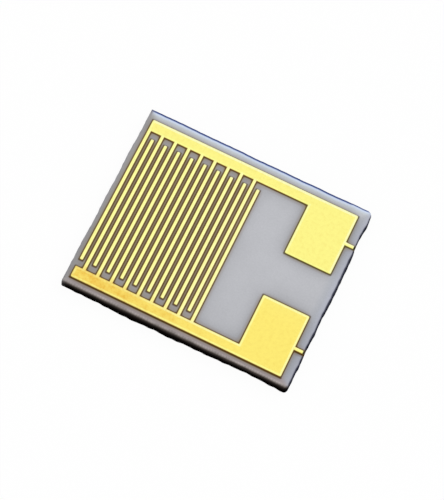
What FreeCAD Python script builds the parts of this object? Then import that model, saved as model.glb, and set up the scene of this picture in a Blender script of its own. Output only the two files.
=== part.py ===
# Ceramic humidity sensor chip: a thin alumina plate with two gold comb electrodes printed on it.
#
# Millimetres. The origin is the middle of the underside, +X runs along the plate towards the
# contact pads, +Y across it towards the upper comb, and +Z out of the printed face. Each comb is a
# bus along one long edge, a row of fingers that reach between those of the other comb, a contact
# pad at the right end of the bus, and a short plating stub from the pad to the edge of the plate.

import FreeCAD, Part
import math
import os
import Sketcher

# Driving dimensions, one spreadsheet cell each.
DIMENSIONS = {
    # Alumina plate. Its length ends at the straight run of the right edge. The rims are rounded
    # all round, apart from the left side, which was cut last and is nearly sharp.
    "chip_length": 10.03,
    "chip_width": 8.25,
    "chip_thickness": 0.635,
    "right_corner_radius": 0.16,
    "upper_rim_radius": 0.06,
    "lower_rim_radius": 0.03,
    "left_rim_radius": 0.02,
    # Two shallow lobes on the right edge, where the plate was snapped from its sheet.
    # They meet in a dip at the upper stub, and each rises or falls over the length of the ramp.
    "lobe_height": 0.05,
    "lobe_ramp": 0.75,
    "lobe_crest": 1.8,
    # Bare ceramic round the print
    "left_margin": 0.225,
    "right_margin": 0.48,
    "upper_margin": 0.385,
    "lower_margin": 0.315,
    # Fired gold film, with a shoulder where the paste slumped at its edges
    "film_thickness": 0.01,
    "film_shoulder": 0.004,
    # Fingers and buses. The gap is between neighbouring fingers, the clearance past their tips.
    "line_width": 0.15,
    "line_gap": 0.15,
    "tip_clearance": 0.3,
    "tip_radius": 0.06,
    "root_radius": 0.04,
    "bus_width": 0.5,
    # Contact pads and the bare bay before them. The number of fingers follows from the bay.
    # The stub's middle is offset from the print's outer edge.
    "bay_length": 2.01,
    "pad_length": 2.065,
    "pad_width": 2.79,
    "pad_corner_radius": 0.08,
    "stub_width": 0.15,
    "stub_offset": 1.32,
}

# Places and lengths that follow from the driving dimensions, as expressions for the document.
LEFT_EDGE = "(-(Sizes.chip_length + Sizes.lobe_height) / 2)"
RIGHT_EDGE = f"({LEFT_EDGE} + Sizes.chip_length)"
CREST_EDGE = f"({RIGHT_EDGE} + Sizes.lobe_height)"
HALF_WIDTH = "(Sizes.chip_width / 2)"
LOBE_RADIUS = "((Sizes.lobe_ramp ^ 2 + Sizes.lobe_height ^ 2) / (4 * Sizes.lobe_height))"
RIM_LIMIT = "min(0.85 * Sizes.right_corner_radius; 0.45 * Sizes.chip_thickness)"
UPPER_ROUND = f"min(Sizes.upper_rim_radius; {RIM_LIMIT})"
LOWER_ROUND = f"min(Sizes.lower_rim_radius; {RIM_LIMIT})"
LEFT_ROUND = f"min(Sizes.left_rim_radius; 0.8 * {UPPER_ROUND}; 0.8 * {LOWER_ROUND})"

COMB_START = f"({LEFT_EDGE} + Sizes.left_margin)"
PITCH = "(Sizes.line_width + Sizes.line_gap)"
COMB_ROOM = (
    "(Sizes.chip_length - Sizes.left_margin - Sizes.right_margin"
    " - Sizes.pad_length - Sizes.bay_length)"
)
FINGER_COUNT = f"round(({COMB_ROOM} + Sizes.line_gap) / (2 * {PITCH}))"
PAD_RIGHT = f"({RIGHT_EDGE} - Sizes.right_margin)"
PAD_LEFT = f"({PAD_RIGHT} - Sizes.pad_length)"
STUB_END = f"({RIGHT_EDGE} - {UPPER_ROUND})"
TIP_ROUND = "min(Sizes.tip_radius; 0.45 * Sizes.line_width)"
SHOULDER = "min(Sizes.film_shoulder; 0.8 * Sizes.film_thickness)"

# Outer long edge of the print on each side, and the inner edge of each bus.
PRINT_TOP = f"({HALF_WIDTH} - Sizes.upper_margin)"
PRINT_BOTTOM = f"(Sizes.lower_margin - {HALF_WIDTH})"
UPPER_BUS_INNER = f"({PRINT_TOP} - Sizes.bus_width)"
LOWER_BUS_INNER = f"({PRINT_BOTTOM} + Sizes.bus_width)"
UPPER_STUB_CENTRE = f"({PRINT_TOP} - Sizes.stub_offset)"
LOWER_STUB_CENTRE = f"({PRINT_BOTTOM} + Sizes.stub_offset)"

# Two places count as one within this distance.
TOUCH = 1e-6

# Points of a sketch element, and the element number that stands for the sketch's origin.
START = 1
END = 2
CENTRE = 3
ORIGIN = -1


def make_sheet(doc):
    """Puts each driving dimension in a cell of its own, under its name as alias."""
    sheet = doc.addObject("Spreadsheet::Sheet", "Sizes")
    for row, (name, size) in enumerate(DIMENSIONS.items(), start=1):
        sheet.set(f"A{row}", name)
        sheet.set(f"B{row}", str(size))
        sheet.setAlias(f"B{row}", name)
    doc.recompute()


def value(doc, expression):
    """The number that an expression gives at the present sizes."""
    return float(doc.Sizes.evalExpression(expression))


def new_body(doc, label):
    """A body whose label names the sub-part."""
    body = doc.addObject("PartDesign::Body", label)
    body.Label = label
    return body


def new_sketch(body, name):
    """A sketch on the body's own XY plane."""
    sketch = body.newObject("Sketcher::SketchObject", name)
    plane = next(f for f in body.Origin.OriginFeatures if f.Role == "XY_Plane")
    sketch.AttachmentSupport = [(plane, "")]
    sketch.MapMode = "FlatFace"
    return sketch


def bind(sketch, name, constraint, expression):
    """Adds a named dimension to a sketch and ties it to an expression."""
    sketch.addConstraint(constraint)
    sketch.renameConstraint(sketch.ConstraintCount - 1, name)
    sketch.setExpression(f"Constraints.{name}", expression)


def place_x(sketch, name, element, point, expression):
    """Holds a point of an element at a distance along X from the origin."""
    size = value(sketch.Document, expression)
    held = Sketcher.Constraint("DistanceX", ORIGIN, START, element, point, size)
    bind(sketch, name, held, expression)


def place_y(sketch, name, element, point, expression):
    """Holds a point of an element at a distance along Y from the origin."""
    size = value(sketch.Document, expression)
    held = Sketcher.Constraint("DistanceY", ORIGIN, START, element, point, size)
    bind(sketch, name, held, expression)


def set_radius(sketch, name, element, expression):
    """Gives an arc its radius."""
    size = value(sketch.Document, expression)
    bind(sketch, name, Sketcher.Constraint("Radius", element, size), expression)


def add_line(sketch, start, end):
    """A line between two points of the sketch plane."""
    line = Part.LineSegment(FreeCAD.Vector(*start, 0), FreeCAD.Vector(*end, 0))
    return sketch.addGeometry(line, False)


def add_arc(sketch, centre, radius, start_angle, end_angle):
    """An arc that runs anticlockwise between two angles in degrees."""
    circle = Part.Circle(FreeCAD.Vector(*centre, 0), FreeCAD.Vector(0, 0, 1), radius)
    arc = Part.ArcOfCircle(circle, math.radians(start_angle), math.radians(end_angle))
    return sketch.addGeometry(arc, False)


def draw_rectangle(sketch, left, right, bottom, top):
    """A rectangle whose four sides lie at the places that the expressions give."""
    doc = sketch.Document
    west = value(doc, left)
    east = value(doc, right)
    south = value(doc, bottom)
    north = value(doc, top)
    corners = [(west, south), (east, south), (east, north), (west, north)]
    for corner in range(4):
        add_line(sketch, corners[corner], corners[(corner + 1) % 4])
    for corner in range(4):
        sketch.addConstraint(Sketcher.Constraint("Coincident", corner, END, (corner + 1) % 4, START))
    for side in (0, 2):
        sketch.addConstraint(Sketcher.Constraint("Horizontal", side))
        sketch.addConstraint(Sketcher.Constraint("Vertical", side + 1))
    place_x(sketch, "left", 0, START, left)
    place_x(sketch, "right", 0, END, right)
    place_y(sketch, "bottom", 0, START, bottom)
    place_y(sketch, "top", 2, START, top)


def pad(body, sketch, name, length):
    """Raises a sketch along +Z by a length."""
    feature = body.newObject("PartDesign::Pad", name)
    feature.Profile = sketch
    feature.Refine = True
    feature.setExpression("Length", length)
    body.Document.recompute()
    return feature


def plate_film(body, name, left, right, bottom, top):
    """A rectangle of film on top of the plate."""
    sketch = new_sketch(body, f"{name}_outline")
    draw_rectangle(sketch, left, right, bottom, top)
    return pad(body, sketch, name, "Sizes.film_thickness")


def edge_names(feature, wanted):
    """Names of the edges of a feature that a test picks out."""
    edges = enumerate(feature.Shape.Edges, start=1)
    return [f"Edge{number}" for number, edge in edges if wanted(edge)]


def is_upright(edge):
    """True for a straight edge that runs along Z."""
    ends = edge.Vertexes
    if len(ends) != 2:
        return False
    step = ends[1].Point - ends[0].Point
    return abs(step.x) < TOUCH and abs(step.y) < TOUCH


def dress_edges(body, kind, name, sizes, edges):
    """Adds a fillet or chamfer over named edges of the body's last feature."""
    base = body.Tip
    feature = body.newObject(f"PartDesign::{kind}", name)
    feature.Base = (base, edges)
    for size, expression in sizes.items():
        feature.setExpression(size, expression)
    body.Document.recompute()
    return feature


def round_uprights(body, name, radius, wanted):
    """Rounds the upright edges whose place in the plane a test picks out."""

    def picked(edge):
        return is_upright(edge) and wanted(edge.Vertexes[0].X, edge.Vertexes[0].Y)

    return dress_edges(body, "Fillet", name, {"Radius": radius}, edge_names(body.Tip, picked))


def dress_rim(body, kind, name, sizes, height, left_out=None):
    """Adds a fillet or chamfer round the flat face at a height, apart from a side along X."""

    def at_height(edge):
        box = edge.BoundBox
        level = abs(box.ZMin - height) < TOUCH and abs(box.ZMax - height) < TOUCH
        skipped = left_out is not None and abs(box.XMax - left_out) < TOUCH
        return level and not skipped

    return dress_edges(body, kind, name, sizes, edge_names(body.Tip, at_height))


def draw_plate_outline(sketch):
    """The plate's outline: sharp left corners, round right ones, and two lobes on the right.

    The lobes are smooth ramps of two equal arcs each. The arc in the dip serves both lobes.
    """
    doc = sketch.Document
    west = value(doc, LEFT_EDGE)
    east = value(doc, RIGHT_EDGE)
    crest = value(doc, CREST_EDGE)
    north = value(doc, HALF_WIDTH)
    far = value(doc, "Sizes.right_corner_radius")
    bend = value(doc, LOBE_RADIUS)
    ramp = value(doc, "Sizes.lobe_ramp")
    dip = value(doc, UPPER_STUB_CENTRE)
    crest_end = dip - ramp
    crest_start = crest_end - value(doc, "Sizes.lobe_crest")
    foot = crest_start - ramp
    lean = math.degrees(math.asin(ramp / (2 * bend)))

    lower_side = add_line(sketch, (west, -north), (east - far, -north))
    lower_right = add_arc(sketch, (east - far, -north + far), far, 270, 360)
    right_side = add_line(sketch, (east, -north + far), (east, foot))
    foot_arc = add_arc(sketch, (east + bend, foot), bend, 180 - lean, 180)
    rise_arc = add_arc(sketch, (crest - bend, crest_start), bend, -lean, 0)
    first_crest = add_line(sketch, (crest, crest_start), (crest, crest_end))
    fall_arc = add_arc(sketch, (crest - bend, crest_end), bend, 0, lean)
    dip_arc = add_arc(sketch, (east + bend, dip), bend, 180 - lean, 180 + lean)
    last_arc = add_arc(sketch, (crest - bend, dip + ramp), bend, -lean, 0)
    last_crest = add_line(sketch, (crest, dip + ramp), (crest, north - far))
    upper_right = add_arc(sketch, (crest - far, north - far), far, 0, 90)
    upper_side = add_line(sketch, (crest - far, north), (west, north))
    left_side = add_line(sketch, (west, north), (west, -north))

    # The smooth run from the lower side round to the upper side: each element with the end at
    # which the outline, run anticlockwise, leaves it.
    chain = [
        (lower_side, END), (lower_right, END), (right_side, END), (foot_arc, START),
        (rise_arc, END), (first_crest, END), (fall_arc, END), (dip_arc, START),
        (last_arc, END), (last_crest, END), (upper_right, END), (upper_side, END),
    ]
    for (element, leave), (follower, follower_leave) in zip(chain, chain[1:]):
        enter = START if follower_leave == END else END
        sketch.addConstraint(Sketcher.Constraint("Tangent", element, leave, follower, enter))
    sketch.addConstraint(Sketcher.Constraint("Coincident", upper_side, END, left_side, START))
    sketch.addConstraint(Sketcher.Constraint("Coincident", left_side, END, lower_side, START))
    for side in (lower_side, upper_side):
        sketch.addConstraint(Sketcher.Constraint("Horizontal", side))
    for side in (right_side, first_crest, last_crest, left_side):
        sketch.addConstraint(Sketcher.Constraint("Vertical", side))
    for name, corner in (("lower_right", lower_right), ("upper_right", upper_right)):
        set_radius(sketch, f"{name}_radius", corner, "Sizes.right_corner_radius")
    bends = {"foot": foot_arc, "rise": rise_arc, "fall": fall_arc, "dip": dip_arc, "last": last_arc}
    for name, arc in bends.items():
        set_radius(sketch, f"{name}_radius", arc, LOBE_RADIUS)
    place_x(sketch, "left_edge", left_side, START, LEFT_EDGE)
    place_x(sketch, "right_edge", right_side, START, RIGHT_EDGE)
    place_x(sketch, "first_crest_edge", first_crest, START, CREST_EDGE)
    place_x(sketch, "last_crest_edge", last_crest, START, CREST_EDGE)
    place_y(sketch, "lower_edge", lower_side, START, f"-{HALF_WIDTH}")
    place_y(sketch, "upper_edge", upper_side, START, HALF_WIDTH)
    place_x(sketch, "dip_x", dip_arc, CENTRE, f"{RIGHT_EDGE} + {LOBE_RADIUS}")
    place_y(sketch, "dip_y", dip_arc, CENTRE, UPPER_STUB_CENTRE)
    place_y(sketch, "crest_start", first_crest, START,
            f"{UPPER_STUB_CENTRE} - Sizes.lobe_ramp - Sizes.lobe_crest")


def make_substrate(doc):
    """The alumina plate, with rounded rims and a nearly sharp left side."""
    body = new_body(doc, "ceramic_substrate")
    outline = new_sketch(body, "plate_outline")
    draw_plate_outline(outline)
    pad(body, outline, "plate", "Sizes.chip_thickness")
    thickness = value(doc, "Sizes.chip_thickness")
    left_x = value(doc, LEFT_EDGE)
    dress_rim(body, "Fillet", "upper_rim", {"Radius": UPPER_ROUND}, thickness, left_x)
    dress_rim(body, "Fillet", "lower_rim", {"Radius": LOWER_ROUND}, 0.0, left_x)

    def on_left(edge):
        return abs(edge.BoundBox.XMax - left_x) < TOUCH

    dress_edges(body, "Fillet", "left_rim", {"Radius": LEFT_ROUND}, edge_names(body.Tip, on_left))
    return body


def make_comb(doc, label, outer, bus_inner, pad_inner, tip, first_finger, stub_centre):
    """One comb electrode, printed on top of the plate.

    The expressions give the places along Y of the print's outer edge, of the inner edges of the
    bus and the pad and of the finger tips, the place along X of the first finger's left side,
    and the place along Y of the stub's middle.
    """
    body = new_body(doc, label)
    body.setExpression("Placement.Base.z", "Sizes.chip_thickness")

    def span(first, second):
        return sorted((first, second), key=lambda expression: value(doc, expression))

    plate_film(body, "bus", COMB_START, PAD_RIGHT, *span(outer, bus_inner))
    plate_film(body, "contact_pad", PAD_LEFT, PAD_RIGHT, *span(outer, pad_inner))
    half_stub = "Sizes.stub_width / 2"
    plate_film(body, "stub", PAD_RIGHT, STUB_END,
               f"{stub_centre} - {half_stub}", f"{stub_centre} + {half_stub}")
    finger = plate_film(body, "finger", first_finger, f"{first_finger} + Sizes.line_width",
                        *span(bus_inner, tip))

    fingers = body.newObject("PartDesign::LinearPattern", "fingers")
    fingers.Originals = [finger]
    fingers.Direction = (finger.Profile[0], ["H_Axis"])
    fingers.Mode = "Spacing"
    fingers.Refine = True
    fingers.setExpression("Offset", f"2 * {PITCH}")
    fingers.setExpression("Occurrences", FINGER_COUNT)
    body.Tip = fingers
    doc.recompute()

    tip_y = value(doc, tip)
    root_y = value(doc, bus_inner)
    pad_ys = (value(doc, outer), value(doc, pad_inner))
    pad_x = value(doc, PAD_RIGHT)
    stub_y = value(doc, stub_centre)
    stub_reach = value(doc, half_stub)
    round_uprights(body, "tip_rounds", TIP_ROUND, lambda x, y: abs(y - tip_y) < TOUCH)
    round_uprights(body, "root_rounds", "Sizes.root_radius", lambda x, y: abs(y - root_y) < TOUCH)
    round_uprights(body, "stub_rounds", "Sizes.root_radius",
                   lambda x, y: abs(x - pad_x) < TOUCH and abs(y - stub_y) < stub_reach + TOUCH)
    round_uprights(body, "pad_rounds", "Sizes.pad_corner_radius",
                   lambda x, y: min(abs(y - pad_y) for pad_y in pad_ys) < TOUCH)
    film_top = value(doc, "Sizes.film_thickness")
    dress_rim(body, "Chamfer", "shoulder", {"Size": SHOULDER}, film_top)
    return body


def make_upper_comb(doc):
    """The comb whose bus runs along the upper long edge and whose fingers hang down."""
    return make_comb(
        doc,
        "upper_comb_electrode",
        outer=PRINT_TOP,
        bus_inner=UPPER_BUS_INNER,
        pad_inner=f"{PRINT_TOP} - Sizes.pad_width",
        tip=f"{LOWER_BUS_INNER} + Sizes.tip_clearance",
        first_finger=COMB_START,
        stub_centre=UPPER_STUB_CENTRE,
    )


def make_lower_comb(doc):
    """The comb along the lower long edge, whose fingers stand one pitch further right."""
    return make_comb(
        doc,
        "lower_comb_electrode",
        outer=PRINT_BOTTOM,
        bus_inner=LOWER_BUS_INNER,
        pad_inner=f"{PRINT_BOTTOM} + Sizes.pad_width",
        tip=f"{UPPER_BUS_INNER} - Sizes.tip_clearance",
        first_finger=f"{COMB_START} + {PITCH}",
        stub_centre=LOWER_STUB_CENTRE,
    )


def check_model(doc, bodies):
    """Stops with a message if an object of the document or the solid of a sub-part has failed."""
    for item in doc.Objects:
        if "Invalid" in item.State or "Error" in item.State:
            raise RuntimeError(f"{item.Name} failed: {item.State}")
    for body in bodies:
        shape = body.Shape
        if shape.isNull() or not shape.isValid() or len(shape.Solids) != 1:
            raise RuntimeError(f"{body.Label} is not one valid solid")
        print(f"{body.Label}: volume {shape.Volume:.5f} mm3, {len(shape.Faces)} faces")


def main():
    """Builds the document, checks it and writes one STEP file for each sub-part."""
    doc = FreeCAD.newDocument("HumiditySensorChip")
    make_sheet(doc)
    bodies = [make_substrate(doc), make_upper_comb(doc), make_lower_comb(doc)]
    doc.recompute()
    check_model(doc, bodies)
    os.makedirs("parts", exist_ok=True)
    for body in bodies:
        body.Shape.exportStep(f"parts/{body.Label}.step")


main()
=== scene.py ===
"""Looks of a ceramic humidity sensor chip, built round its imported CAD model.

A thin alumina plate carries two gold combs, each a bus with fingers, a contact pad and a stub. The
classes hold their sizes in millimetres, and the meshes are in metres. Both use the CAD model's
frame: the origin is the middle of the underside, +X runs along the plate towards the contact pads,
+Y across it towards the upper comb, and +Z out of the printed face.
"""

from __future__ import annotations

import logging
import math
from collections.abc import Callable
from dataclasses import dataclass
from enum import Enum
from functools import partial, reduce

import bpy
import numpy as np
from mathutils import Matrix, Vector


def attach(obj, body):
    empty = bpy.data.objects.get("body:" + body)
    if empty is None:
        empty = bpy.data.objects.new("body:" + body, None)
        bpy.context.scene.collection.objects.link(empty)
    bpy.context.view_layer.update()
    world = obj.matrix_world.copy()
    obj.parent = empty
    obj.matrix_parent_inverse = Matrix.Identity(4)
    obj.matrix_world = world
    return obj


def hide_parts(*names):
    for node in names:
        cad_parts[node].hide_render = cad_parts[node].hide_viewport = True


Array = np.ndarray
Steps = tuple[float, ...]
# Place and value of each knot of a curve, in rising order
Knots = tuple[tuple[float, float], ...]
# Height, length and phase of each wave of a sum of sine waves
Waves = tuple[tuple[float, float, float], ...]
# Place and sRGB hex colour of each stop of a colour ramp
Stops = tuple[tuple[float, str], ...]
Socket = bpy.types.NodeSocket
# A function that adds a node to one tree, as add_node does
Adder = Callable[..., Socket]
# The two ends of what a fade reads, and the fade's values there, which are 0 and 1 if left out
Fade = tuple[float, ...]
# Size, detail and roughness of a noise pattern
Noise = tuple[float, float, float]

METRES = 0.001  # in a millimetre
# Distance in millimetres, or share, that is too small to matter
HAIR = 1e-6
# Grid lines that are nearer to each other than this many millimetres become one
LEAST_STEP = 0.0015
WHITE = "FFFFFF"
# The stretches along X and along Y over which the surroundings of the upper contact pad begin
UPPER_PAD = ((1.0, 2.4), (-1.7, -0.5))
log = logging.getLogger("humidity_sensor_chip")

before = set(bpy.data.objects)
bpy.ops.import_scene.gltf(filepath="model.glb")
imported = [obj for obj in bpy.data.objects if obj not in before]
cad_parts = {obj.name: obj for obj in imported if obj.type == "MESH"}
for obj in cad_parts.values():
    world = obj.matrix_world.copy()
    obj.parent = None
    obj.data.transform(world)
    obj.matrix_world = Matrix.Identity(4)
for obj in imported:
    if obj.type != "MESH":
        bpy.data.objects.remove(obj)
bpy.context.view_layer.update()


class Comb(Enum):
    """The two combs. The value is the side of the plate, along Y, that the comb's bus lies on."""

    UPPER = 1
    LOWER = -1


# Numbers and meshes


def linear(hex_colour: str) -> tuple[float, float, float, float]:
    """Turns an sRGB hex colour into linear RGBA.

    Args:
        hex_colour: six hex digits, red first.

    Returns:
        Red, green and blue through the sRGB curve, and an alpha of 1.
    """
    channels = np.array([int(hex_colour[k:k + 2], 16) for k in (0, 2, 4)]) / 255
    bright = ((channels + 0.055) / 1.055) ** 2.4
    red, green, blue = np.where(channels <= 0.04045, channels / 12.92, bright)
    return float(red), float(green), float(blue), 1.0


def fill_lines(lines: Array, widest: float) -> Array:
    """Grid lines with evenly spaced ones added where two neighbours are too far apart.

    Args:
        lines: places of the lines, in any order, repeats allowed.
        widest: largest distance wanted between neighbours.

    Returns:
        The places in rising order.
    """
    places = np.unique(np.round(lines, 5))
    places = places[np.r_[True, np.diff(places) > LEAST_STEP]]
    spans = [
        np.linspace(low, high, max(1, math.ceil((high - low) / widest)), endpoint=False)
        for low, high in zip(places, places[1:])
    ]
    return np.concatenate([*spans, places[-1:]])


def ease(places: Array, knots: Knots) -> Array:
    """Smooth curve through knots, level at each of them.

    Between two knots the share t of the way turns into t^2 (3 - 2 t).

    Args:
        places: where the curve is wanted.
        knots: the knots.

    Returns:
        The curve's values, with the end values kept beyond the ends.
    """
    marks, values = np.array(knots).T
    first = np.clip(np.searchsorted(marks, places) - 1, 0, len(marks) - 2)
    share = np.clip((places - marks[first]) / (marks[first + 1] - marks[first]), 0.0, 1.0)
    return values[first] + (values[first + 1] - values[first]) * share**2 * (3 - 2 * share)


def add_waves(places: Array, waves: Waves) -> Array:
    """Sum at each place of all waves' height times the sine of a turn per length, plus the phase."""
    return sum(
        height * np.sin(2 * math.pi * places / length + phase) for height, length, phase in waves
    )


def grid_quads(numbers: Array) -> Array:
    """Quads of a grid of vertex numbers, anticlockwise where X is the first index and Y the second."""
    quads = [numbers[:-1, :-1], numbers[1:, :-1], numbers[1:, 1:], numbers[:-1, 1:]]
    return np.stack(quads, axis=-1)


def make_piece(
    name: str,
    places: Array,
    faces: list[list[int]],
    masks: dict[str, Array],
    sharp_angle: float = 40.0,
) -> bpy.types.Object:
    """Puts points and faces into a new smooth object at the origin.

    Args:
        name: the piece's name.
        places: one row of X, Y and Z for each vertex, in millimetres.
        faces: vertex numbers of each face, anticlockwise seen from outside.
        masks: a value for each vertex under the attribute's name.
        sharp_angle: edges that turn by more than this many degrees stay sharp.

    Returns:
        The object, linked to the scene.
    """
    mesh = bpy.data.meshes.new(name)
    mesh.from_pydata((places * METRES).tolist(), [], faces)
    for label, values in masks.items():
        layer = mesh.attributes.new(label, "FLOAT", "POINT")
        layer.data.foreach_set("value", values.astype(np.float32))
    mesh.shade_smooth()
    mesh.set_sharp_from_angle(angle=math.radians(sharp_angle))
    mesh.validate()
    piece = bpy.data.objects.new(name, mesh)
    bpy.context.scene.collection.objects.link(piece)
    return piece


# Material nodes


def add_node(
    tree: bpy.types.NodeTree,
    kind: str,
    *inputs: object,
    named: dict[str, object] | None = None,
    output: str = "",
    stops: Stops = (),
    **settings: object,
) -> Socket | None:
    """Adds a node with its settings and links.

    Args:
        tree: the node tree.
        kind: the node's type, without the ShaderNode that all of them begin with.
        inputs: for each input that the settings leave on, in order, the output socket to link, an
            sRGB hex colour or another value.
        named: the same under the input's name.
        output: name of the wanted output. Without it, that is the first one.
        stops: the stops, where the node is a colour ramp.
        settings: values of the node's own properties.

    Returns:
        The wanted output socket, or None where the node has no output.
    """
    node = tree.nodes.new(f"ShaderNode{kind}")
    for name, value in settings.items():
        setattr(node, name, value)
    in_order = zip((socket for socket in node.inputs if socket.enabled), inputs)
    by_name = ((node.inputs[name], value) for name, value in (named or {}).items())
    for socket, value in (*in_order, *by_name):
        if isinstance(value, Socket):
            tree.links.new(value, socket)
        else:
            socket.default_value = linear(value) if isinstance(value, str) else value
    if stops:
        elements = node.color_ramp.elements
        while len(elements) < len(stops):
            elements.new(1.0)
        for element, (place, colour) in zip(elements, sorted(stops)):
            element.position = place
            element.color = linear(colour)
    if output:
        return node.outputs[output]
    return next((socket for socket in node.outputs if socket.enabled), None)


def new_tree(name: str) -> tuple[bpy.types.Material, Adder]:
    """Makes a material with an empty node tree.

    Args:
        name: the material's name.

    Returns:
        The material, and add_node for its tree.
    """
    material = bpy.data.materials.new(name)
    material.use_nodes = True
    material.node_tree.nodes.clear()
    return material, partial(add_node, material.node_tree)


def object_place(add: Adder) -> tuple[Socket, ...]:
    """Adds the nodes that read the place on a piece in the frame.

    Args:
        add: adds a node to the tree.

    Returns:
        The sockets with the place in millimetres, and with its X, Y and Z.
    """
    place = add("VectorMath", add("TexCoord", output="Object"), 1 / METRES, operation="SCALE")
    return place, *(add("SeparateXYZ", place, output=axis) for axis in "XYZ")


def texture(add: Adder, place: Socket, noise: Noise) -> Socket:
    """Adds a noise pattern.

    Args:
        add: adds a node to the tree.
        place: the place that the pattern reads.
        noise: size in the place's own unit, detail and roughness.

    Returns:
        The socket with the pattern, from 0 to 1.
    """
    size, detail, roughness = noise
    named = {"Vector": place, "Scale": 1 / size, "Detail": detail, "Roughness": roughness}
    return add("TexNoise", named=named, output="Fac")


def fade(add: Adder, *fades: tuple[Socket, Fade]) -> Socket:
    """Adds the product of one or more fades.

    Args:
        add: adds a node to the tree.
        fades: what each fade reads, and the fade.

    Returns:
        The socket with the product.
    """
    parts = (add("MapRange", source, *ends) for source, ends in fades)
    return reduce(partial(add, "Math", operation="MULTIPLY"), parts)


def shade(add: Adder, tone: Socket, *fades: tuple[Socket, Fade]) -> Socket:
    """Makes a colour darker or lighter by the product of one or more fades.

    Args:
        add: adds a node to the tree.
        tone: the colour.
        fades: what each fade reads, and the fade.

    Returns:
        The socket with the new colour.
    """
    return add("VectorMath", tone, fade(add, *fades), operation="SCALE")


def coat(
    add: Adder, tone: Socket | str, *layers: tuple[Socket, Socket | str], blend: str = "MIX"
) -> Socket:
    """Lays colours over one another.

    Args:
        add: adds a node to the tree.
        tone: the lowest colour.
        layers: how far each further layer covers what lies below it, and its colour.
        blend: how each layer is blended with what lies below it.

    Returns:
        The socket with the colour on top.
    """
    for cover, colour in layers:
        tone = add("Mix", cover, tone, colour, data_type="RGBA", blend_type=blend)
    return tone


def add_surface(
    add: Adder, relief: tuple[float, float], height: Socket, inputs: dict[str, object]
) -> None:
    """Adds the surface with its fine relief, and the material's output.

    Args:
        add: adds a node to the tree.
        relief: strength of the relief, and its depth in millimetres.
        height: the socket with the relief's height.
        inputs: colour and levels of the surface.
    """
    strength, deepest = relief
    bump = add("Bump", named={"Strength": strength, "Distance": deepest * METRES, "Height": height})
    add("OutputMaterial", add("BsdfPrincipled", named={**inputs, "Normal": bump}))


def upper_pad(add: Adder, x: Socket, y: Socket) -> Socket:
    """Adds a mask that is 1 round the upper contact pad, where the painted edge shade is more olive."""
    across, along = UPPER_PAD
    return fade(add, (x, across), (y, along))


# The print


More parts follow.
